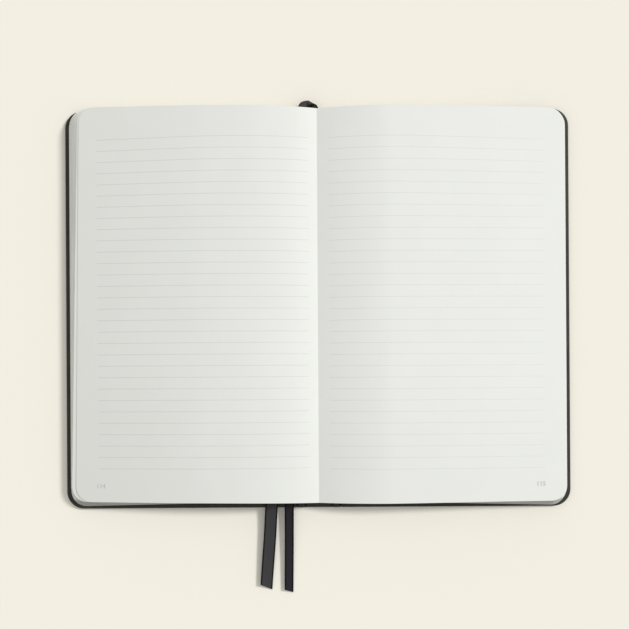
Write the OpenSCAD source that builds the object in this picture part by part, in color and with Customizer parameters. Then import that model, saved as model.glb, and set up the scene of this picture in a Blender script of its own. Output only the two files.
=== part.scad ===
// Open case-bound notebook: ruled leaves lying open on two hinged covers, with two ribbon markers.
// X runs across the spread, Y towards the head of the page and Z up from the table.
// The origin is on the table, under the middle of the spine.

/* [Cover] */
// Height of the case, from tail to head
cover_h = 210; // [180:1:260]
// Reach of an open cover, from the middle of the spine to its fore-edge
cover_reach = 133; // [110:1:180]
// Radius of a cover's two outer corners
cover_r = 9; // [4:0.5:14]
// Thickness of a cover board
board_t = 1.4; // [1:0.1:2.2]
// Thickness of the covering skin
skin_t = 0.35; // [0.2:0.05:0.5]
// Width of the skin turned in over the inside of a board
turn_in = 13; // [10:1:20]
// Rounding of the skin round the edge of a board
edge_r = 0.6; // [0.4:0.05:0.8]

/* [Spine] */
// Width of the spine card
spine_w = 13; // [9:0.5:24]
// Thickness of the spine card
spine_card_t = 1; // [0.6:0.1:1.4]
// Width of the hinge groove between spine card and board
groove_w = 5.6; // [5:0.2:9]
// Gap between the crest of the hinge groove and the endpaper over it
groove_clear = 0.35; // [0.1:0.05:0.6]
// Slit along the crest of the groove, where the skin folds
fold_gap = 0.5; // [0.4:0.05:0.8]
// Thickness of the lining glued to the back of the pages
lining_t = 0.35; // [0.2:0.05:0.6]
// Gap between the side of the pages' back and the edge of the spine card
lining_clear = 0.5; // [0:0.1:1.5]

/* [Endpapers] */
// Thickness of an endpaper
endpaper_t = 0.2; // [0.1:0.05:0.3]
// Distance from the fore-edge of the cover to the edge of the endpaper
endpaper_margin = 2.2; // [1:0.1:4]

/* [Pages] */
// Distance from the head of the cover to the head of the pages
head_square = 1.1; // [0.5:0.1:5]
// Distance from the tail of the cover to the tail of the pages
tail_square = 3.7; // [1:0.1:5]
// Distance from the fore-edge of the cover to the lowest leaf
fore_square = 2.6; // [1:0.1:5]
// Corner radius of the leaves
page_r = 8; // [3:0.5:14]
// Thickness of the leaves lying on the front cover
left_stack = 7.6; // [5:0.2:14]
// Thickness of the leaves lying on the back cover
right_stack = 5.6; // [3:0.2:14]
// Height of the left crest above the left fore-edge
left_crest = 4; // [1:0.1:5]
// Height of the right crest above the right fore-edge
right_crest = 5.2; // [1:0.1:6]
// Depth of the gutter under the left crest
gutter_sink = 6; // [2:0.2:8]
// Distance from the gutter to the left crest
left_crest_reach = 60; // [44:1:80]
// Distance from the gutter to the right crest
right_crest_reach = 36; // [28:1:60]
// How far the top leaf draws back from the lowest one on the left
left_slant = 5.2; // [0:0.1:8]
// How far the top leaf draws back from the lowest one on the right
right_slant = 0.6; // [0:0.1:8]
// How far the lowest leaf's corners at the tail reach out past the top one's
leaf_skew = 2.4; // [0:0.1:3]
// Number of sewn bundles that show along the edges
bundles = 9; // [3:1:14]
// Depth of the crease between two bundles
bundle_crease = 0.25; // [0.05:0.05:0.5]

/* [Ribbons] */
// Width of the left ribbon marker
left_ribbon_w = 6.6; // [4:0.2:7]
// Width of the right ribbon marker
right_ribbon_w = 4.8; // [3:0.2:6]
// Thickness of a ribbon marker
ribbon_t = 0.35; // [0.2:0.05:0.45]
// Clearance round a ribbon between the leaves
slot_clear = 0.15; // [0.05:0.05:0.3]
// Share of the left-hand leaves that lies under the left ribbon
left_mark = 0.27; // [0.25:0.01:0.6]
// Share of the left-hand leaves that lies under the right ribbon
right_mark = 0.15; // [0.12:0.01:0.4]
// How far the left ribbon's loop stands out over the head
left_loop_out = 5; // [3:0.2:8]
// How far the right ribbon's loop stands out over the head
right_loop_out = 2; // [1.6:0.2:4]
// How far the right corner of the left ribbon's cut end is past the left one
left_tip_slant = 2.7; // [0:0.1:4]
// How far the right corner of the right ribbon's cut end is past the left one
right_tip_slant = 1.6; // [0:0.1:3]

/* [Hidden] */
$fn = 64;
overcut = 1;
lap = 0.1;

case_t = board_t + 2 * skin_t;
spine_t = spine_card_t + 2 * skin_t;
hinge_x = spine_w / 2 + groove_w / 2;
board_x = spine_w / 2 + groove_w;
groove_rise = case_t - skin_t - groove_clear;
groove_half = groove_w / 2;
groove_arc = (pow(groove_half, 2) + pow(groove_rise, 2)) / (2 * groove_rise);
groove_z = skin_t / 2 + groove_rise - groove_arc;

back_half = spine_w / 2 - lining_clear;
back_z = spine_t + lining_t;
seat_z = case_t + endpaper_t;
head_y = cover_h / 2 - head_square;
tail_y = cover_h / 2 - tail_square;
foot_reach = cover_reach - fore_square;
left_edge_z = seat_z + left_stack;
right_edge_z = seat_z + right_stack;
left_crest_z = left_edge_z + left_crest;
right_crest_z = right_edge_z + right_crest;
gutter_z = left_crest_z - gutter_sink;

left_rise_bend = 3.2;
right_rise_bend = 1.7;
left_fall_bend = 1.3;
right_fall_bend = 1.25;
slant_bend = 1.8;
back_stations = [0, back_half / 2, back_half, hinge_x];
spread_first = len(back_stations) - 1;
spread_steps = 16;
spread_bend = 1.2;
corner_steps = 5;
corner_first = spread_first + spread_steps;
stations = corner_first + corner_steps;
crease_share = 0.12;
crease_half = crease_share / bundles;

function mix(a, b, t) = a + (b - a) * t;
function unit(v) = v / norm(v);

// Underside of the pages: flat on the lining, then up a shoulder to the endpapers
function underside(x) =
    mix(back_z, seat_z, min(1, max(0, (x - back_half) / (hinge_x - back_half))));

// Upper surface of the open pages, from the gutter over the crest to the fore-edge
function page_top(x, side) =
    let (crest_z = side < 0 ? left_crest_z : right_crest_z)
    let (edge_z = side < 0 ? left_edge_z : right_edge_z)
    let (peak = side < 0 ? left_crest_reach : right_crest_reach)
    let (reach = foot_reach - (side < 0 ? left_slant : right_slant))
    let (rise_bend = side < 0 ? left_rise_bend : right_rise_bend)
    let (fall_bend = side < 0 ? left_fall_bend : right_fall_bend)
    x < peak
        ? crest_z - (crest_z - gutter_z) * pow(1 - x / peak, rise_bend)
        : crest_z - (crest_z - edge_z) * pow((x - peak) / (reach - peak), fall_bend);

// Distance of station j from the gutter, in a leaf that reaches so far
function station_x(j, reach) =
    j <= spread_first
        ? back_stations[j]
        : j <= corner_first
            ? mix(hinge_x, reach - page_r, pow((j - spread_first) / spread_steps, spread_bend))
            : reach - page_r + page_r * sin(90 * (j - corner_first) / corner_steps);

// How far the rounded corner draws station j back from the head or tail
function corner_drop(j) =
    j <= corner_first ? 0 : page_r * (1 - cos(90 * (j - corner_first) / corner_steps));

// One point on the outline of the leaf at share k of the stack's thickness
function leaf_point(side, end, j, k, crease) =
    let (slant = side < 0 ? left_slant : right_slant)
    let (reach = foot_reach - slant * pow(k, slant_bend))
    let (x = station_x(j, reach - (j > spread_first ? crease : 0)))
    let (top = page_top(station_x(j, foot_reach - slant), side))
    let (y = (end > 0 ? head_y : -tail_y - leaf_skew * (1 - k) * x / foot_reach))
    [side * x, y - end * (crease + corner_drop(j)), mix(underside(x), top, k)];

// The outline of one leaf: head from right to left, then tail from left to right
function leaf_ring(k, crease) = [
    for (j = [stations:-1:0]) leaf_point(1, 1, j, k, crease),
    for (j = [1:stations]) leaf_point(-1, 1, j, k, crease),
    for (j = [stations:-1:0]) leaf_point(-1, -1, j, k, crease),
    for (j = [1:stations]) leaf_point(1, -1, j, k, crease)
];

// Stack of leaf outlines, with a crease between each two bundles
function leaf_rings() = concat(
    [leaf_ring(0, 0)],
    [
        for (b = [1:bundles - 1], step = [-1:1])
            leaf_ring(b / bundles + step * crease_half, step == 0 ? bundle_crease : 0)
    ],
    [leaf_ring(1, 0)]
);

module leaf_stack() {
    rings = leaf_rings();
    n = len(rings[0]);
    last = len(rings) - 1;
    walls = [
        for (i = [0:last - 1], p = [0:n - 1])
            let (q = (p + 1) % n)
            each [
                [i * n + p, (i + 1) * n + p, (i + 1) * n + q],
                [i * n + p, (i + 1) * n + q, i * n + q]
            ]
    ];
    lid = [
        for (q = [0:2 * stations - 1])
            let (t = n - 1 - q)
            [last * n + q, last * n + t, last * n + t - 1, last * n + q + 1]
    ];
    base = [
        for (q = [0:2 * stations - 1])
            let (t = n - 1 - q)
            [q, q + 1, t - 1, t]
    ];
    polyhedron(points = [for (r = rings) each r], faces = concat(walls, lid, base));
}

// Each point of a ribbon's route gives the middle of the ribbon and its roll: x, y, z, degrees.
ribbon_foot_x = -1.4;
foot_length = 9.3;
foot_early = 2;
foot_lift = 0.3;
left_foot_z = back_z + ribbon_t / 2;
right_foot_z = back_z + 3 * ribbon_t / 2;
left_in_x = -7;
left_out_x = -24.8;
right_in_x = -5.1;
right_out_x = -15.6;
slot_past = 0.7;
loop_steps = 9;
run_steps = 5;

// Height and roll of the left-hand leaf at share k
function leaf_z(x, k) = mix(underside(x), page_top(x, -1), k);
function leaf_roll(x, k) = -atan((leaf_z(x + 1, k) - leaf_z(x - 1, k)) / 2);

// The foot, glued to the back of the pages. The right ribbon lies on the left one and lifts off early.
function ribbon_foot(z, early) = [
    [ribbon_foot_x, head_y - foot_length, z, 0],
    [ribbon_foot_x, head_y - 0.5 - early, z, 0]
];

// The loop over the head, from the foot to the leaves
function ribbon_loop(foot_z, early, in_x, k, out) = [
    for (i = [1:loop_steps])
        let (angle = 180 * i / (loop_steps + 1))
        let (rise = (1 - cos(angle)) / 2)
        let (drift = (rise + i / (loop_steps + 1)) / 2)
        let (back = early * (1 - rise))
        [
            mix(ribbon_foot_x, in_x, drift),
            head_y - back + (out + back) * sin(angle),
            mix(foot_z, leaf_z(-in_x, k), rise),
            mix(0, leaf_roll(-in_x, k), rise)
        ]
];

// The run between the leaves, a little longer than they are
function ribbon_run(in_x, out_x, k) = [
    for (i = [0:run_steps])
        let (x = mix(in_x, out_x, i / run_steps))
        let (y = mix(head_y + slot_past, -tail_y - slot_past, i / run_steps))
        [x, y, leaf_z(-x, k), leaf_roll(-x, k)]
];

// The free ends: how far past the tail of the pages, how far sideways, the height and the roll
left_fall = [
    [3.4, -0.15, 4.3, -2], [8.4, -0.5, 3.5, -3], [15.4, -0.9, 3, -5], [23.5, -1.5, 2.6, -8],
    [31.6, -2.15, 2.1, -11], [39.7, -2.8, 1.65, -14], [45.85, -3.25, 1.3, -16]
];
right_fall = [
    [2.6, 0, 3.5, -2], [5.4, -0.05, 3.2, -3], [9, -0.1, 2.9, -4], [15, -0.15, 2.6, -6],
    [23, -0.2, 2.2, -9], [31, -0.3, 1.8, -12], [39, -0.4, 1.5, -15], [48, -0.5, 1.2, -18]
];
function ribbon_tail(fall, out_x) = [for (row = fall) [out_x + row[1], -tail_y - row[0], row[2], row[3]]];

left_run = ribbon_run(left_in_x, left_out_x, left_mark);
right_run = ribbon_run(right_in_x, right_out_x, right_mark);
left_route = concat(
    ribbon_foot(left_foot_z, 0),
    ribbon_loop(left_foot_z, 0, left_in_x, left_mark, left_loop_out),
    left_run,
    ribbon_tail(left_fall, left_out_x)
);
right_route = concat(
    ribbon_foot(right_foot_z, foot_early),
    ribbon_loop(right_foot_z + foot_lift, foot_early, right_in_x, right_mark, right_loop_out),
    right_run,
    ribbon_tail(right_fall, right_out_x)
);

// Section of a ribbon: a flat strip with softened edges, drawn with eight points
function band_section(w, t) = [
    [-w / 2, -t / 4], [-w / 2, t / 4], [-w / 2 + t / 2, t / 2], [w / 2 - t / 2, t / 2],
    [w / 2, t / 4], [w / 2, -t / 4], [w / 2 - t / 2, -t / 2], [-w / 2 + t / 2, -t / 2]
];

function route_point(route, i) = [route[i][0], route[i][1], route[i][2]];

function route_tangent(route, i) =
    unit(route_point(route, min(i + 1, len(route) - 1)) - route_point(route, max(i - 1, 0)));

function band_ring(route, i, w, t, slant) =
    let (ahead = route_tangent(route, i))
    let (roll = route[i][3])
    let (across = [cos(roll), 0, sin(roll)])
    let (wide = unit(across - (across * ahead) * ahead / 2))
    let (thick = cross(wide, ahead))
    let (cut = i == len(route) - 1 ? slant / w : 0)
    [for (s = band_section(w, t)) route_point(route, i) + s[0] * (wide + cut * ahead) + s[1] * thick];

// A flat strip swept along its route, with its far end cut on the slant
module band(route, w, t, slant = 0) {
    last = len(route) - 1;
    rings = [for (i = [0:last]) each band_ring(route, i, w, t, slant)];
    sides = [
        for (i = [0:last - 1], k = [0:7])
            let (m = (k + 1) % 8)
            each [
                [i * 8 + k, i * 8 + 8 + k, i * 8 + 8 + m],
                [i * 8 + k, i * 8 + 8 + m, i * 8 + m]
            ]
    ];
    near = [[for (k = [0:7]) k]];
    far = [[for (k = [7:-1:0]) last * 8 + k]];
    polyhedron(points = rings, faces = concat(sides, near, far));
}

// The way that a ribbon takes between the leaves
module ribbon_way(run, w) {
    band(run, w + 2 * slot_clear, ribbon_t + 2 * slot_clear);
}

// The pages, sewn and glued into one block that lies open
module text_block() {
    foot_y = head_y - foot_length - slot_clear;
    foot_w = max(left_ribbon_w, right_ribbon_w);
    color("ivory")
        difference() {
            leaf_stack();
            ribbon_way(left_run, left_ribbon_w);
            ribbon_way(right_run, right_ribbon_w);
            translate([ribbon_foot_x - foot_w / 2 - slot_clear, foot_y, back_z - overcut])
                cube([
                    foot_w + 2 * slot_clear,
                    head_y - foot_y + overcut,
                    overcut + 3 * ribbon_t + slot_clear
                ]);
        }
}

// Strip of crash cloth glued over the back of the block
module spine_lining() {
    color("gainsboro")
        translate([-back_half, -tail_y, spine_t])
            cube([2 * back_half, head_y + tail_y, lining_t]);
}

module spine_card() {
    color("slategray")
        translate([-spine_w / 2, -cover_h / 2 + skin_t, skin_t])
            cube([spine_w, cover_h - 2 * skin_t, spine_card_t]);
}

// Outline of the right-hand cover, drawn in from its true edge
module cover_outline(inset, inner_x) {
    reach = cover_reach - inset;
    h = cover_h - 2 * inset;
    r = cover_r - inset;
    translate([inner_x, -h / 2])
        square([reach - r - inner_x, h]);
    translate([reach - r, -h / 2 + r])
        square([r, h - 2 * r]);
    for (end = [-1, 1])
        translate([reach - r, end * (h / 2 - r)])
            circle(r);
}

// Section of the skin where it wraps a board's edge: 0 is where the flat skin stops
module wrap_section(thick) {
    difference() {
        intersection() {
            square([edge_r, thick]);
            union() {
                for (z = [edge_r, thick - edge_r])
                    translate([0, z])
                        circle(edge_r);
                translate([0, edge_r])
                    square([edge_r, thick - 2 * edge_r]);
            }
        }
        translate([-overcut, skin_t])
            square([overcut + edge_r - skin_t, thick - 2 * skin_t]);
    }
}

// The wrap along the head of a piece, from one x to another
module head_wrap(from_x, to_x, thick) {
    translate([from_x, cover_h / 2 - edge_r, 0])
        rotate([90, 0, 90])
            linear_extrude(to_x - from_x)
                wrap_section(thick);
}

// Skin arched up into the hinge groove, from the fold to the board side
module groove_skin() {
    fold_x = hinge_x + fold_gap / 2;
    rotate([90, 0, 0])
        linear_extrude(cover_h, center = true)
            intersection() {
                translate([hinge_x, groove_z])
                    difference() {
                        circle(groove_arc + skin_t / 2);
                        circle(groove_arc - skin_t / 2);
                    }
                translate([fold_x, 0])
                    square([board_x - fold_x, case_t]);
            }
}

// Skin of the right-hand cover: outer sheet, wrapped edges, turn-ins and its half of the groove
module cover_skin() {
    window_h = cover_h - 2 * turn_in;
    linear_extrude(skin_t)
        cover_outline(edge_r, board_x);
    translate([0, 0, case_t - skin_t])
        linear_extrude(skin_t)
            difference() {
                cover_outline(edge_r, board_x);
                translate([board_x - overcut, -window_h / 2])
                    square([cover_reach - turn_in - board_x + overcut, window_h]);
            }
    translate([cover_reach - edge_r, 0, 0])
        rotate([90, 0, 0])
            linear_extrude(cover_h - 2 * cover_r, center = true)
                wrap_section(case_t);
    for (end = [0, 1])
        mirror([0, end, 0]) {
            head_wrap(board_x, cover_reach - cover_r, case_t);
            translate([cover_reach - cover_r, cover_h / 2 - cover_r, 0])
                rotate_extrude(angle = 90)
                    translate([cover_r - edge_r, 0])
                        wrap_section(case_t);
        }
    groove_skin();
}

// Board of the right-hand cover
module cover_board() {
    translate([0, 0, skin_t])
        linear_extrude(board_t)
            cover_outline(skin_t, board_x);
}

// Outline of the right-hand endpaper, cut level with the pages at head and tail
module endpaper_outline() {
    reach = cover_reach - endpaper_margin;
    inner_x = hinge_x + fold_gap / 2;
    translate([inner_x, -tail_y])
        square([reach - page_r - inner_x, tail_y + head_y]);
    translate([reach - page_r, page_r - tail_y])
        square([page_r, tail_y + head_y - 2 * page_r]);
    for (y = [page_r - tail_y, head_y - page_r])
        translate([reach - page_r, y])
            circle(page_r);
}

// Endpaper of the right-hand cover: it lies on the turn-ins and is pressed down between them
module cover_endpaper() {
    window_h = cover_h - 2 * turn_in;
    pressed_z = case_t - skin_t;
    difference() {
        translate([0, 0, pressed_z])
            linear_extrude(skin_t + endpaper_t)
                endpaper_outline();
        translate([0, 0, pressed_z - overcut])
            linear_extrude(overcut + skin_t)
                difference() {
                    cover_outline(0, 0);
                    translate([board_x, -window_h / 2])
                        square([cover_reach - turn_in - board_x, window_h]);
                }
        translate([board_x + endpaper_t, endpaper_t - window_h / 2, pressed_z + endpaper_t])
            cube([
                cover_reach - turn_in - board_x - 2 * endpaper_t,
                window_h - 2 * endpaper_t,
                skin_t + overcut
            ]);
    }
}

// Skin of the spine, folded over the card at head and tail and arched into both grooves
module spine_skin() {
    card_end = cover_h / 2 - edge_r;
    color([0.21, 0.2, 0.19]) {
        translate([-spine_w / 2 - lap, -card_end, 0])
            cube([spine_w + 2 * lap, 2 * card_end, skin_t]);
        for (end = [0, 1])
            mirror([0, end, 0]) {
                head_wrap(-spine_w / 2, spine_w / 2, spine_t);
                translate([-spine_w / 2, cover_h / 2 - turn_in, spine_t - skin_t])
                    cube([spine_w, turn_in - edge_r, skin_t]);
            }
        for (side = [0, 1])
            mirror([side, 0, 0])
                translate([2 * hinge_x, 0, 0])
                    mirror([1, 0, 0])
                        groove_skin();
    }
}

module front_board() {
    color("dimgray")
        mirror([1, 0, 0])
            cover_board();
}

module back_board() {
    color("dimgray")
        cover_board();
}

module front_cover_skin() {
    color([0.23, 0.22, 0.21])
        mirror([1, 0, 0])
            cover_skin();
}

module back_cover_skin() {
    color([0.23, 0.22, 0.21])
        cover_skin();
}

module front_endpaper() {
    color("whitesmoke")
        mirror([1, 0, 0])
            cover_endpaper();
}

module back_endpaper() {
    color("whitesmoke")
        cover_endpaper();
}

module ribbon_left() {
    color([0.2, 0.2, 0.22])
        band(left_route, left_ribbon_w, ribbon_t, left_tip_slant);
}

module ribbon_right() {
    color([0.17, 0.16, 0.18])
        band(right_route, right_ribbon_w, ribbon_t, right_tip_slant);
}

text_block();
spine_lining();
spine_card();
spine_skin();
front_board();
front_cover_skin();
front_endpaper();
back_board();
back_cover_skin();
back_endpaper();
ribbon_left();
ribbon_right();
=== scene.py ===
import math
import random

import bpy
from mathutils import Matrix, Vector, noise


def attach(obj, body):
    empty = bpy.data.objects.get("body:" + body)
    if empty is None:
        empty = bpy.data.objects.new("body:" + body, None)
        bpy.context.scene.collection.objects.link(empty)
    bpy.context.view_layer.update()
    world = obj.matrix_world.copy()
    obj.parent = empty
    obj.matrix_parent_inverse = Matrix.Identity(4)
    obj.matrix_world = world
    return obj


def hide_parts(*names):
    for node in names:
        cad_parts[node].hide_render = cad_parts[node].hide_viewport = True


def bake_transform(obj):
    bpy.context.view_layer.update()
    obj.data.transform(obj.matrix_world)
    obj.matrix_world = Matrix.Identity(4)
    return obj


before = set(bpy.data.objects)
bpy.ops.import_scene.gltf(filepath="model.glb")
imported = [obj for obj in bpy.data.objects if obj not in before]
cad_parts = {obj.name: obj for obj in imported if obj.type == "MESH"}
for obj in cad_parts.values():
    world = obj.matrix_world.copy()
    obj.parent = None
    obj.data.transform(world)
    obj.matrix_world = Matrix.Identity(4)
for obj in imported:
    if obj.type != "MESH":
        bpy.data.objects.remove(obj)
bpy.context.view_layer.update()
mm = 0.001

# The block of leaves: about 120 leaves of smooth writing paper, sewn in nine bundles and glued
# along the back, lying open in two unequal halves. Each leaf rises out of the gutter, rolls over
# a crest and falls to the fore-edge, and the bundles leave fine creases along the cut edges.
head_y, tail_y = 103.9, 101.3
back_half, back_z, seat_z = 6.0, 2.05, 2.3
hinge_x, foot_reach, page_r = 9.3, 130.4, 8.0
gutter_z = 7.9
crest_z = {-1: 13.9, 1: 13.1}
crest_reach = {-1: 60.0, 1: 36.0}
rise_power = {-1: 3.2, 1: 1.7}
fall_power = {-1: 1.3, 1: 1.25}
edge_z = {-1: 9.9, 1: 7.9}
slant = {-1: 5.2, 1: 0.6}
slant_bend = 1.8
skew, head_skew = {-1: 2.4, 1: 3.2}, {-1: 1.1, 1: 0.0}
fan, close = {-1: 0.012, 1: 0.0}, {-1: 1.0, 1: 0.997}
twist, twist_middle = 0.021, 57.0
tail_in, tail_bow, tail_bend = 0.45, 1.25, 3.2
head_fall, corner_fall = 0.4, 1.2
bundles, bundle_crease = 9, 0.25


def mix(a, b, t):
    return a + (b - a) * t


def underside(x):
    return mix(back_z, seat_z, min(1, max(0, (x - back_half) / (hinge_x - back_half))))


def page_top(x, side):
    """Height of the open page at a distance from the gutter."""
    crest, peak = crest_z[side], crest_reach[side]
    if x < peak:
        return crest - (crest - gutter_z) * (1 - x / peak) ** rise_power[side]
    share = (x - peak) / (foot_reach - slant[side] - peak)
    return crest - (crest - edge_z[side]) * share ** fall_power[side]


def sag(x, y):
    """How far the left-hand leaves, which lie a little twisted, drop towards their foot corner."""
    return twist * (twist_middle - y) * min(1, -x / foot_reach) ** 3 if x < 0 else 0


def leaf_z(x, side, share):
    return mix(underside(x), page_top(x, side), share)


def fanned(x, y, share):
    """Where a leaf's point comes to lie. Low leaves reach out, and the cut edges curve a little."""
    side = -1 if x < 0 else 1
    turned = x * (close[side] + fan[side] * share * (-y / (head_y + tail_y)))
    far = abs(x) / foot_reach
    tail, head = max(0.0, -y / tail_y), max(0.0, y / head_y)
    left_back = tail_in - tail_bow * (1 - math.exp(-far * tail_bend))
    back = left_back if side < 0 else tail_in * max(0, 1 - 2 * far * far)
    past_crest = max(0, (x - crest_reach[1]) / 91)
    past_corner = max(0, (x - 118) / 11)
    fall = head_fall * past_crest ** 0.8 + corner_fall * past_corner ** 2
    out = (1 - share) * far * (-skew[side] if y < 0 else head_skew[side])
    return turned, y + out - back * share * tail ** 4 - fall * head ** 3


spread_steps, corner_steps = 34, 10
back_stations = [0, 1, 2.2, 3.6, 5, back_half, 7.5, hinge_x]


def stations(reach):
    """Distances from the gutter at which a leaf is drawn, and how far its corner draws back."""
    spread = [mix(hinge_x, reach - page_r, (i / spread_steps) ** 1.2) for i in range(1, spread_steps)]
    found = [(x, 0.0) for x in back_stations + spread]
    for i in range(corner_steps + 1):
        turn = math.pi / 2 * i / corner_steps
        found.append((reach - page_r + page_r * math.sin(turn), page_r * (1 - math.cos(turn))))
    return found


def mesh_piece(name, points, faces, material=None, shares=None):
    """A mesh from points in millimetres, with an optional leaf number on each point."""
    mesh = bpy.data.meshes.new(name)
    mesh.from_pydata([(x * mm, y * mm, z * mm) for x, y, z in points], [], faces)
    if shares:
        layer = mesh.attributes.new("leaf", "FLOAT", "POINT")
        layer.data.foreach_set("value", shares)
    mesh.polygons.foreach_set("use_smooth", [True] * len(mesh.polygons))
    piece = bpy.data.objects.new(name, mesh)
    bpy.context.scene.collection.objects.link(piece)
    if material:
        mesh.materials.append(material)
    return piece


def sharpen(piece, degrees):
    """Edges sharper than this stay crisp, and the rest are shaded smooth."""
    piece.data.set_sharp_from_angle(angle=math.radians(degrees))


class Tone:
    """A socket in a material. Sums on tones add the nodes that work them out."""

    def __init__(self, tree, socket=None):
        self.tree, self.socket = tree, socket

    def add(self, kind, inputs=None, out=0, stops=None, **settings):
        """Any other node: its kind, its settings, then the values or tones of its sockets."""
        made = self.tree.nodes.new("ShaderNode" + kind)
        for name, value in settings.items():
            setattr(made, name, value)
        if stops:
            ramp = made.color_ramp.elements
            while len(ramp) < len(stops):
                ramp.new(0.5)
            for element, (place, level) in zip(ramp, stops):
                element.position, element.color = place, (level, level, level, 1)
        for name, value in (inputs or {}).items():
            if isinstance(value, Tone):
                self.tree.links.new(value.socket, made.inputs[name])
            else:
                made.inputs[name].default_value = value
        return Tone(self.tree, made.outputs[out])

    def maths(self, operation, *terms):
        return self.add("Math", dict(enumerate(terms)), operation=operation)

    def __add__(self, other):
        return self.maths("ADD", self, other)

    def __radd__(self, other):
        return self.maths("ADD", other, self)

    def __sub__(self, other):
        return self.maths("SUBTRACT", self, other)

    def __rsub__(self, other):
        return self.maths("SUBTRACT", other, self)

    def __mul__(self, other):
        return self.maths("MULTIPLY", self, other)

    def __rmul__(self, other):
        return self.maths("MULTIPLY", other, self)

    def __truediv__(self, other):
        return self.maths("DIVIDE", self, other)

    def __mod__(self, other):
        return self.maths("FLOORED_MODULO", self, other)

    def __lt__(self, other):
        return self.maths("LESS_THAN", self, other)

    def __gt__(self, other):
        return self.maths("GREATER_THAN", self, other)

    def __abs__(self):
        return self.maths("ABSOLUTE", self)

    def eased(self, low, high, start=0.0, end=1.0):
        """Where this tone runs from low to high, an eased run from start to end."""
        sockets = {"Value": self, "From Min": low, "From Max": high, "To Min": start, "To Max": end}
        return self.add("MapRange", sockets, interpolation_type="SMOOTHSTEP")

    def between(self, first, second):
        """The colour between two, by this tone."""
        return self.add("Mix", {0: self, 6: first, 7: second}, out=2, data_type="RGBA")


def dye(red, green, blue):
    """A colour as a paint chart gives it, 0 to 255, as Blender wants it."""
    levels = [c / 255 for c in (red, green, blue)]
    return tuple(c / 12.92 if c < 0.04045 else ((c + 0.055) / 1.055) ** 2.4 for c in levels) + (1,)


def finish(name, **constants):
    """A new material, its shader with these constant sockets, and a tone to begin its nodes from."""
    material = bpy.data.materials.new(name)
    material.use_nodes = True
    shader = material.node_tree.nodes["Principled BSDF"]
    for socket, value in constants.items():
        shader.inputs[socket.replace("_", " ")].default_value = value
    return material, shader, Tone(material.node_tree)


def plug(shader, **tones):
    for socket, tone in tones.items():
        tone.tree.links.new(tone.socket, shader.inputs[socket.replace("_", " ")])


def bump(tone, height, distance, strength=1.0):
    """Raised detail: the height tone runs 0 to 1 over this distance in metres."""
    return tone.add("Bump", {"Height": height, "Distance": distance, "Strength": strength})


def place(tone):
    """Position on the piece as it lies open, and its three parts in millimetres."""
    where = tone.add("TexCoord", out=3)
    apart = where.add("SeparateXYZ", {0: where})
    parts = [Tone(tone.tree, apart.socket.node.outputs[i]) * 1000 for i in range(3)]
    return where, parts


def fibres(tone, where, scale, detail=3.0, rough=0.6):
    return tone.add("TexNoise", {"Vector": where, "Scale": scale, "Detail": detail, "Roughness": rough})


# Page paper: off-white, uncoated, ruled in pale grey with thirty rules to a page. Shade is
# painted into the paper: darker towards the left-hand fore-edge and towards the foot.
paper_in_shade, paper_in_light = dye(220, 221, 215), dye(236, 237, 232)
rule_grey = dye(176, 179, 178)
rule_width, rules, rule_droop = 0.30, 30, 0.0004
ink_left, ink_fade = 0.514, 0.348


def page_paper(name, rule_in, rule_out, rule_first, rule_pitch):
    """Ruled paper, with the rules from one x to another, which droop a little at the outer head."""
    material, shader, tone = finish(name, Roughness=0.62, Specular_IOR_Level=0.22)
    where, (x, y, z) = place(tone)
    outer, upper = [tone.maths("MAXIMUM", span, 0) for span in (abs(x) - 50, y - 35)]
    level = y + outer * upper * rule_droop
    step = abs((level - rule_first + rule_pitch / 2) % rule_pitch - rule_pitch / 2)
    line = step.eased(rule_width / 2 + 0.08, rule_width / 2 - 0.08)
    ends = x.eased(rule_in - 0.2, rule_in + 0.2) * x.eased(rule_out + 0.2, rule_out - 0.2)
    span = (level > rule_first - 1) * (level < rule_first + (rules - 1) * rule_pitch + 1)
    ink = fibres(tone, where, 900).eased(0.3, 0.6, 0.75, 1.0)
    cloud = fibres(tone, where, 60, 4).eased(0.35, 0.65, -0.04, 0.04)
    across = x / (2 * foot_reach) + 0.5
    # Painted shade: the paper runs from dark at the left-hand fore-edge to light at the right, less
    # steeply on the right-hand page, and darkens towards the foot.
    lit = across * 1.18 - tone.maths("MAXIMUM", across - 0.6, 0) * 0.825 - y.eased(-20, -100, 0, 0.16)
    shaded_paper = (lit + cloud).between(paper_in_shade, paper_in_light)
    strength = ink_left - across * ink_fade
    printed = (line * ends * span * ink * strength).between(shaded_paper, rule_grey)
    grain = fibres(tone, where, 2600, 4, 0.7)
    plug(shader, Base_Color=printed, Normal=bump(tone, grain, 0.00003, 0.35))
    return material


def edge_paper():
    """The cut edges of the leaves: fine uneven lines, one to a leaf, with shade painted into the creases
    between bundles and over the whole edge at the foot.
    """
    material, shader, tone = finish("cut_leaf_edges", Roughness=0.8, Specular_IOR_Level=0.15)
    where, (x, y, z) = place(tone)
    leaf = tone.add("Attribute", out=2, attribute_name="leaf")
    drift = tone.add("CombineXYZ", {"X": leaf * 60, "Y": (x + y) * 0.012, "Z": (y - x) * 0.012})
    lines = fibres(tone, drift, 1.0, 2.0, 0.7).eased(0.34, 0.62)
    coarse = tone.add("CombineXYZ", {"X": leaf * 17, "Y": (x + y) * 0.006, "Z": 3.0})
    blocks = fibres(tone, coarse, 1.0, 1.0).eased(0.35, 0.65)
    # Painted shade: the crease mask darkens the edges between bundles, and the edges at the foot are
    # darkened all along.
    crease = abs((leaf * bundles + 0.5) % 1 - 0.5).eased(0.0, 0.09, 0.45, 1.0)
    pale = (lines * 0.7 + blocks * 0.3).between(dye(206, 207, 199), dye(250, 250, 243))
    shade = (crease * y.eased(-101.0, -99.0, 0.3, 1.0)).between(dye(150, 150, 144), pale)
    plug(shader, Base_Color=shade, Normal=bump(tone, lines, 0.00012, 0.7))
    return material


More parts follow.
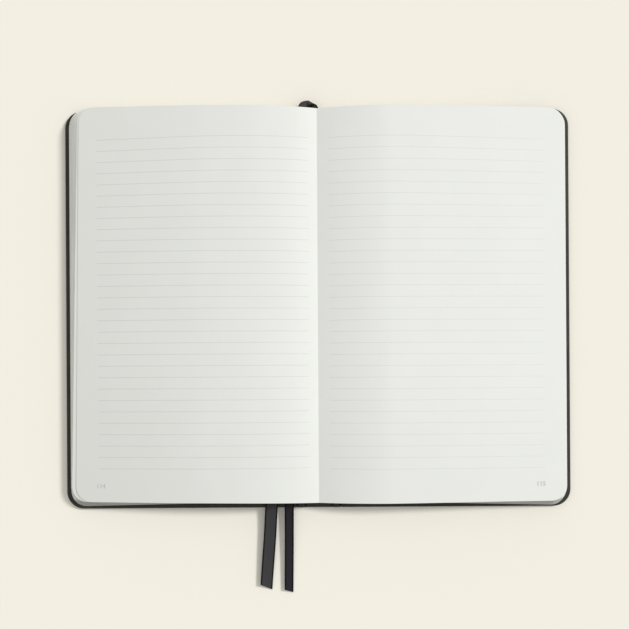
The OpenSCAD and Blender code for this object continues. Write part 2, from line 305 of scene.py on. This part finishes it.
def leaf_layers():
    """Share of the thickness and set-back of each drawn layer, bundle by bundle."""
    dice = random.Random(7)
    layers = [(0.0, 0.0)]
    for bundle in range(bundles):
        for step in (0.12, 0.24, 0.36, 0.48, 0.6, 0.72, 0.84):
            layers.append(((bundle + step) / bundles, dice.uniform(-0.06, 0.08)))
        if bundle < bundles - 1:
            layers.append(((bundle + 0.95) / bundles, 0.06))
            layers.append(((bundle + 1.0) / bundles, bundle_crease))
            layers.append(((bundle + 1.05) / bundles, 0.06))
    return layers + [(1.0, 0.0)]


def block_ring(share, crease, sink=0.0):
    """One leaf's outline: the head from right to left, then the tail from left to right."""
    halves = {}
    for side in (-1, 1):
        reach = foot_reach - slant[side] * share ** slant_bend - crease
        top = stations(foot_reach - slant[side])
        halves[side] = [
            (side * x, drop, mix(underside(x), page_top(tx, side), share) - sink)
            for (x, drop), (tx, _) in zip(stations(reach), top)
        ]
    head = [(x, head_y - crease - drop, z) for x, drop, z in reversed(halves[1])]
    head += [(x, head_y - crease - drop, z) for x, drop, z in halves[-1][1:]]
    tail = [(x, drop + crease - tail_y, z) for x, drop, z in reversed(halves[-1])]
    tail += [(x, drop + crease - tail_y, z) for x, drop, z in halves[1][1:]]
    return [(*fanned(x, y, share), z - sag(x, y) * share) for x, y, z in head + tail]


layers = leaf_layers()
rings = [block_ring(share, crease) for share, crease in layers]
count = len(rings[0])
half = count // 2
points = [p for ring in rings for p in ring]
shares = [share for share, _ in layers for _ in range(count)]
faces = []
for i in range(len(rings) - 1):
    for p in range(count):
        q = (p + 1) % count
        faces.append((i * count + p, (i + 1) * count + p, (i + 1) * count + q, i * count + q))
lid = (len(rings) - 1) * count
for q in range(half - 1):
    t = count - 1 - q
    faces.append((lid + q, lid + t, lid + t - 1, lid + q + 1))
    faces.append((q, q + 1, t - 1, t))
block = mesh_piece("leaf_block", points, faces, edge_paper(), shares)
plain = page_paper("plain_leaf", 200, 201, -83.2, 5.91)
block.data.materials.append(plain)
flat_from = (len(rings) - 1) * count
for index, face in enumerate(block.data.polygons):
    if index >= flat_from:
        face.material_index = 1
sharpen(block, 34)
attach(block, "book")
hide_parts("text_block")


# The topmost leaves lie loose on the block: single sheets with round corners, each drawn back
# a little from the one below, so that their edges catch the light one by one.
leaf_t = 0.11
page_paint = {
    -1: page_paper("left_page", -114.2, -4.6, -83.2, 5.91),
    1: page_paper("right_page", 6.0, 117.6, -83.9, 5.934),
}


def sheet_z(x, y, side, lift, curl, seed):
    """Height of a loose leaf's underside: it lies on the block, a little wavy and curled up."""
    far = max(0.0, (x - crest_reach[side]) / (foot_reach - slant[side] - crest_reach[side]))
    wave = 0.10 * noise.noise(Vector((x * 0.03, y * 0.018, seed))) * min(1, x / 25)
    z = page_top(min(x, foot_reach - slant[side]), side)
    return z + lift * min(1, x / 12 + 0.15) + curl * far ** 6 + wave - sag(side * x, y)


def loose_leaf(name, side, lift, reach_head, reach_tail, curl, seed):
    """One sheet lying over the block from the gutter to its own fore-edge."""
    rows = 44
    top, low = [], []
    reach_max = max(reach_head, reach_tail)
    base = stations(reach_max)
    for x, drop in base:
        for r in range(rows + 1):
            v = r / rows
            reach = mix(reach_tail, reach_head, v)
            px = x * reach / reach_max
            y = mix(-tail_y + drop, head_y - drop, v)
            reached, shifted = fanned(side * px, y, 1)
            z = sheet_z(px, y, side, lift, curl, seed)
            top.append((reached, shifted, z + leaf_t))
            low.append((reached, shifted, z))
    n, m = len(base), rows + 1
    points = top + low
    k = len(top)
    faces = []
    for i in range(n - 1):
        for r in range(rows):
            a, b, c, d = i * m + r, (i + 1) * m + r, (i + 1) * m + r + 1, i * m + r + 1
            faces.append((a, b, c, d) if side > 0 else (a, d, c, b))
            faces.append((k + a, k + d, k + c, k + b) if side > 0 else (k + a, k + b, k + c, k + d))
    border = [i * m for i in range(n)] + [(n - 1) * m + r for r in range(1, m)]
    border += [i * m + rows for i in range(n - 2, -1, -1)] + [r for r in range(rows - 1, 0, -1)]
    for a, b in zip(border, border[1:] + border[:1]):
        faces.append((a, k + a, k + b, b) if side > 0 else (a, b, k + b, k + a))
    piece = mesh_piece(name, points, faces, page_paint[side])
    sharpen(piece, 40)
    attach(piece, "book")
    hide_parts("text_block")


# How the two leaves that lie open on top are lifted, curled and waved.
open_leaf = {-1: (0.30, 0.22, 3.7), 1: (0.16, 0.1, 5.2)}
loose_leaf("left_leaf_3", -1, 0.02, 125.1, 127.4, 0.0, 1.3)
loose_leaf("left_leaf_2", -1, 0.16, 124.9, 128.1, 0.04, 2.1)
loose_leaf("left_leaf_1", -1, open_leaf[-1][0], 124.0, 125.8, *open_leaf[-1][1:])
loose_leaf("right_leaf_2", 1, 0.02, 129.7, 129.7, 0.0, 4.4)
loose_leaf("right_leaf_1", 1, open_leaf[1][0], 129.4, 129.5, *open_leaf[1][1:])


# Page numbers: three small grey digits in the outer foot corner of each page, printed on the
# sheet. The numbers are plain ones of the maker's own.
def page_number(text, side, x, y):
    curve = bpy.data.curves.new("page_number_" + text, "FONT")
    curve.body = text
    curve.size = 3.3 * mm
    curve.align_x = "CENTER"
    curve.extrude = 0.01 * mm
    curve.offset = 0.05 * mm
    made = bpy.data.objects.new("page_number_" + text, curve)
    bpy.context.scene.collection.objects.link(made)
    on_leaf = abs(x) / (1 - fan[side] * y / (head_y + tail_y))
    low, high = [sheet_z(on_leaf + step, y, side, *open_leaf[side]) for step in (-2, 2)]
    made.location = (x * mm, y * mm, ((low + high) / 2 + leaf_t + 0.03) * mm)
    made.rotation_euler = (0, -math.atan((high - low) / 4 * side), 0)
    ink, shader, tone = finish("page_number_ink_" + text, Roughness=0.6)
    where, _ = place(tone)
    worn = fibres(tone, where, 1500).eased(0.3, 0.7)
    plug(shader, Base_Color=worn.between(dye(186, 188, 186), dye(200, 202, 200)))
    curve.materials.append(ink)
    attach(made, "book")


page_number("114", -1, -113.2, -93.3)
page_number("115", 1, 115.5, -93.4)


# The back lining: a strip of open-weave crash cloth, glued over the folded backs of the leaves.
def cloth_weave(name, light, dark, pitch):
    material, shader, tone = finish(name, Roughness=0.9, Specular_IOR_Level=0.1)
    where, (x, y, z) = place(tone)
    over = abs((x / pitch) % 1 - 0.5) * 2
    under = abs((y / pitch) % 1 - 0.5) * 2
    weave = over.maths("MAXIMUM", over, under)
    shade = weave.eased(0.45, 0.95).between(dye(*dark), dye(*light))
    plug(shader, Base_Color=shade, Normal=bump(tone, weave, 0.0001))
    return material


def repaint(node, material):
    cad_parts[node].data.materials.clear()
    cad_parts[node].data.materials.append(material)


repaint("spine_lining", cloth_weave("crash_cloth", (222, 219, 208), (170, 166, 154), 0.7))


# The boards of the case: grey millboard, cut square at the joint and round at the outer corners,
# with the spine card between them, all hidden under the covering.
millboard, shader, tone = finish("grey_millboard", Roughness=0.9)
where, _ = place(tone)
fleck = fibres(tone, where, 700, 5, 0.7).eased(0.3, 0.7)
plug(shader, Base_Color=fleck.between(dye(150, 146, 138), dye(176, 172, 162)))
plug(shader, Normal=bump(tone, fleck, 0.00005))
for node in ("front_board", "back_board", "spine_card"):
    repaint(node, millboard)


# The endpapers: plain uncoated sheets pasted over the boards and the turned-in covering.
endpaper, shader, tone = finish("endpaper", Roughness=0.75, Specular_IOR_Level=0.2)
where, _ = place(tone)
cloud = fibres(tone, where, 90, 4).eased(0.35, 0.65)
plug(shader, Base_Color=cloud.between(dye(232, 232, 224), dye(223, 223, 214)))
plug(shader, Normal=bump(tone, fibres(tone, where, 2200, 4), 0.00003, 0.4))
for node in ("front_endpaper", "back_endpaper"):
    repaint(node, endpaper)


# The covering: charcoal leatherette with a fine pebbled grain, drawn over the boards' edges,
# turned in all round and pressed into the two grooves beside the spine, where the case folds.
cover_h, skin_t = 210.0, 0.35
groove_rise, groove_half, pivot_z = 1.4, 2.8, 1.575


def leatherette(name):
    material, shader, tone = finish(name, Roughness=0.55, Specular_IOR_Level=0.35)
    where, (x, y, z) = place(tone)
    pebble = tone.add("TexVoronoi", {"Vector": where, "Scale": 1500.0}, feature="F1")
    soft = fibres(tone, where, 1100, 3)
    grain = pebble * 0.7 + soft * 0.5
    worn = fibres(tone, where, 45, 4).eased(0.4, 0.7)
    shade = worn.between(dye(47, 45, 40), dye(55, 53, 47))
    # Painted shade: the pits of the grain, where the bump is low, are darker.
    pits = grain.eased(0.15, 0.6).between(dye(34, 32, 28), shade)
    plug(shader, Base_Color=pits, Roughness=soft.eased(0.3, 0.7, 0.48, 0.66))
    plug(shader, Normal=bump(tone, grain, 0.00012, 0.8))
    return material


covering = leatherette("charcoal_leatherette")
for node in ("front_cover_skin", "back_cover_skin", "spine_skin"):
    repaint(node, covering)


def groove_fold(side, cover):
    """The covering at the crest of a hinge groove, where it runs on from spine to cover and folds."""
    steps, proud, strip_half, fold_half = 24, 0.03, 1.6, 0.4
    bend = (groove_half ** 2 + groove_rise ** 2) / (2 * groove_rise)
    middle = skin_t / 2 + groove_rise - bend
    section = []
    for face in (1, -1):
        for i in range(steps + 1):
            t = 2 * i / steps - 1
            dx = strip_half * (abs(t) ** 1.5) * (1 if t > 0 else -1) * face
            z = middle + math.sqrt((bend + face * (skin_t / 2 + proud)) ** 2 - dx * dx)
            section.append((side * (hinge_x + dx), z))
    n, rows = len(section), 70
    points = [
        (x, mix(-cover_h / 2, cover_h / 2, r / rows), z) for r in range(rows + 1) for x, z in section
    ]
    faces = [
        (r * n + k, r * n + (k + 1) % n, (r + 1) * n + (k + 1) % n, (r + 1) * n + k)[::side]
        for r in range(rows) for k in range(n)
    ]
    faces.append(tuple(range(n))[::-side])
    faces.append(tuple(rows * n + k for k in range(n))[::side])
    piece = mesh_piece(cover + "_fold", points, faces, covering)
    sharpen(piece, 50)
    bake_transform(piece)


groove_fold(-1, "front_cover")
groove_fold(1, "back_cover")


# The ribbon markers: two lengths of charcoal satin ribbon, glued one on the other to the back of
# the block, looped over the head, laid between the left-hand leaves and hanging free at the tail.
ribbon_t = 0.35
foot_x, foot_length = -1.4, 9.3


def ribbon_route(foot_z, early, lift, in_x, out_x, share, out, fall):
    """The way the ribbon goes, as rows of x, y, z and roll, held part first and free part last."""
    def roll(x):
        return -math.degrees(math.atan((leaf_z(x + 1, -1, share) - leaf_z(x - 1, -1, share)) / 2))

    held = [(foot_x, head_y - foot_length, foot_z, 0), (foot_x, head_y - 0.5 - early, foot_z, 0)]
    for i in range(1, 10):
        turn = math.pi * i / 10
        rise = (1 - math.cos(turn)) / 2
        back = early * (1 - rise)
        held.append((
            mix(foot_x, in_x, rise ** 1.25), head_y - back + (out + back) * math.sin(turn),
            mix(foot_z + lift, leaf_z(-in_x, -1, share), rise), roll(-in_x) * rise,
        ))
    for i in range(6):
        x = mix(in_x, out_x, i / 5)
        y = mix(head_y + 0.7, -tail_y - 0.7, i / 5)
        held.append((x, y, leaf_z(-x, -1, share), roll(-x)))
    free = [held[-1]] + [(out_x + dx, -tail_y - past, z, turn) for past, dx, z, turn in fall]
    return held, free


def eased_route(rows, parts):
    """A smooth curve through the rows, with this many parts between each two."""
    found = []
    for i in range(len(rows) - 1):
        a, b = rows[max(i - 1, 0)], rows[i]
        c, d = rows[i + 1], rows[min(i + 2, len(rows) - 1)]
        for s in range(parts):
            t = s / parts
            found.append(tuple(
                0.5 * (2 * q + (r - p) * t + (2 * p - 5 * q + 4 * r - u) * t * t
                       + (3 * q - p - 3 * r + u) * t ** 3)
                for p, q, r, u in zip(a, b, c, d)
            ))
    return found + [tuple(rows[-1])]


def satin(name, width, face, selvedge):
    """Satin weave across the ribbon, with a darker woven edge at both sides."""
    material, shader, tone = finish(
        name, Specular_IOR_Level=0.12, Sheen_Weight=0.04, Sheen_Roughness=0.4,
    )
    across = tone.add("Attribute", out=2, attribute_name="across")
    along = tone.add("Attribute", out=2, attribute_name="along")
    ribs = abs((along / 0.35) % 1 - 0.5) * 2
    threads = abs((across / 0.22) % 1 - 0.5) * 2
    where, _ = place(tone)
    cloud = fibres(tone, where, 120, 3).eased(0.3, 0.7, 0.9, 1.1)
    rim = abs(across).eased(width / 2 - 0.95, width / 2 - 0.65)
    cloth = (threads * 0.5 + ribs * 0.5).eased(0.1, 0.9).between(dye(*face[0]), dye(*face[1]))
    # Lighter and warmer along the first 30 to 40 mm of the ribbon, over its foot and its loop at the
    # head.
    tinted_near_loop = along.eased(40, 30, 0.0, 0.8).between(cloth, dye(70, 64, 58))
    edged = rim.between(tinted_near_loop, dye(*selvedge))
    shade = tone.add("Mix", {0: 1.0, 6: edged, 7: cloud.between(dye(230, 230, 230), dye(255, 255, 255))},
                     out=2, data_type="RGBA", blend_type="MULTIPLY")
    plug(shader, Base_Color=shade, Roughness=(1 - rim) * 0.12 + 0.5)
    plug(shader, Normal=bump(tone, threads * 0.4 + ribs * 0.6, 0.00005, 0.8))
    return material


loop_middle, loop_crown, loop_rise = -4.2, 0.5, 3.0


def loop_lean(x, y):
    """How far a loop leans back over the head, crowned in its middle and lower at its sides."""
    aside = x - loop_middle
    droop = 0.09 * max(0, -aside) ** 2 + 0.72 * max(0, aside - 0.2) - loop_crown
    return droop * min(1, max(0, (y - head_y) / loop_rise))


def ribbon_piece(name, width, rows, material, slant_end=0.0, first_along=0.0, looped=False):
    """A flat strip along its rows, thicker at the two selvedges, and the length that it reaches."""
    wide = [-1, -0.96, -0.86, -0.6, -0.3, 0, 0.3, 0.6, 0.86, 0.96, 1]
    thick = [0.3, 0.9, 1.0, 0.72, 0.7, 0.7, 0.7, 0.72, 1.0, 0.9, 0.3]
    outline = list(zip(wide, thick)) + [(w, -t) for w, t in zip(wide[::-1], thick[::-1])]
    spots = [Vector(row[:3]) for row in rows]
    points, across_values, along_values = [], [], []
    gone = first_along
    for i, row in enumerate(rows):
        ahead = (spots[min(i + 1, len(rows) - 1)] - spots[max(i - 1, 0)]).normalized()
        turn = math.radians(row[3])
        across = Vector((math.cos(turn), 0, math.sin(turn)))
        side = (across - across.dot(ahead) * ahead / 2).normalized()
        up = side.cross(ahead).normalized()
        if i:
            gone += (spots[i] - spots[i - 1]).length
        cut = slant_end / width if i == len(rows) - 1 else 0
        if slant_end and i == len(rows) - 2:
            cut = slant_end / width * 0.55
        for w, t in outline:
            s = w * width / 2
            back = Vector((0, -loop_lean(spots[i].x + s, spots[i].y) if looped else 0, 0))
            points.append(tuple(spots[i] + s * (side + cut * ahead) + t * ribbon_t / 2 * up + back))
            across_values.append(s)
            along_values.append(gone + s * cut)
    n = len(outline)
    faces = [
        (i * n + k, (i + 1) * n + k, (i + 1) * n + (k + 1) % n, i * n + (k + 1) % n)
        for i in range(len(rows) - 1) for k in range(n)
    ]
    faces.append(tuple(range(n - 1, -1, -1)))
    faces.append(tuple((len(rows) - 1) * n + k for k in range(n)))
    piece = mesh_piece(name, points, faces, material)
    for label, values in (("across", across_values), ("along", along_values)):
        layer = piece.data.attributes.new(label, "FLOAT", "POINT")
        layer.data.foreach_set("value", values)
    sharpen(piece, 50)
    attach(piece, "book")
    return piece, gone


def ribbon(name, width, route, material, slant_end):
    held, free = route
    held_piece, gone = ribbon_piece(name + "_held", width, eased_route(held, 3), material, looped=True)
    path = eased_route(free, 4)
    free_piece, _ = ribbon_piece(name + "_end", width, path, material, slant_end, gone)
    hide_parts(name)
    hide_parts(name)
    tuple(c * mm for c in free[0][:3])
    [tuple(c * mm for c in row[:3]) for row in path]


left_fall = [
    (3.4, -0.15, 4.3, -2), (8.4, -0.5, 3.5, -3), (15.4, -0.9, 3, -5), (23.5, -1.5, 2.6, -8),
    (31.6, -2.15, 2.1, -11), (39.7, -2.8, 1.65, -14), (45.85, -3.25, 1.3, -16),
]
right_fall = [
    (2.6, 0, 3.5, -2), (5.4, -0.05, 3.2, -3), (9, -0.1, 2.9, -4), (15, -0.15, 2.6, -6),
    (23, -0.2, 2.2, -9), (31, -0.3, 1.8, -12), (39, -0.4, 1.5, -15), (48, -0.5, 1.2, -18),
]
ribbon(
    "ribbon_left", 6.6,
    ribbon_route(back_z + 0.5 * ribbon_t, 0, 0, -7.8, -24.8, 0.27, 5, left_fall),
    satin("left_satin", 6.6, ((50, 50, 51), (64, 64, 66)), (14, 14, 14)), 2.7,
)
ribbon(
    "ribbon_right", 4.8,
    ribbon_route(back_z + 1.5 * ribbon_t, 2, 0.3, -5.1, -15.6, 0.15, 2, right_fall),
    satin("right_satin", 4.8, ((30, 28, 32), (41, 38, 43)), (1, 1, 1)), 1.6,
)


# The table, the light and the camera: a plain cream ground that runs on into the backdrop, a
# soft lamp from the upper right and a camera straight above, a little towards the tail.
floor = mesh_piece("floor", [(-3000, -3000, 0), (3000, -3000, 0), (3000, 3000, 0), (-3000, 3000, 0)],
                   [(0, 1, 2, 3)])
ground_cream = dye(243, 239, 227)
cream, shader, tone = finish("cream_ground", Roughness=0.95, Specular_IOR_Level=0.0)
shader.inputs["Base Color"].default_value = ground_cream
floor.data.materials.append(cream)

towards_lamp = Vector((1.11, 0.5, 1.0)).normalized()
lamp = bpy.data.lights.new("key", "SUN")
lamp.angle = math.radians(10)
lamp.energy = 1.98
key = bpy.data.objects.new("key", lamp)
key.location = towards_lamp
key.rotation_euler = towards_lamp.to_track_quat("Z", "Y").to_euler()
bpy.context.scene.collection.objects.link(key)

world = bpy.data.worlds.new("room")
world.use_nodes = True
backdrop = Tone(world.node_tree)
seen = backdrop.add("LightPath", out=0)
room = world.node_tree.nodes["Background"]
plug(room, Color=seen.between((1, 1, 1, 1), ground_cream), Strength=seen * 0.4 + 0.6)
bpy.context.scene.world = world
bpy.context.scene.view_settings.view_transform = "Standard"

eye = bpy.data.cameras.new("camera")
eye.lens = 48.55
eye.sensor_width = 36
eye.shift_y = 0.1
camera = bpy.data.objects.new("camera", eye)
camera.location = (-0.0019555, -0.0368808, 0.4501)
camera.rotation_euler = (0.00109, 0, -0.0062)
bpy.context.scene.collection.objects.link(camera)
bpy.context.scene.camera = camera
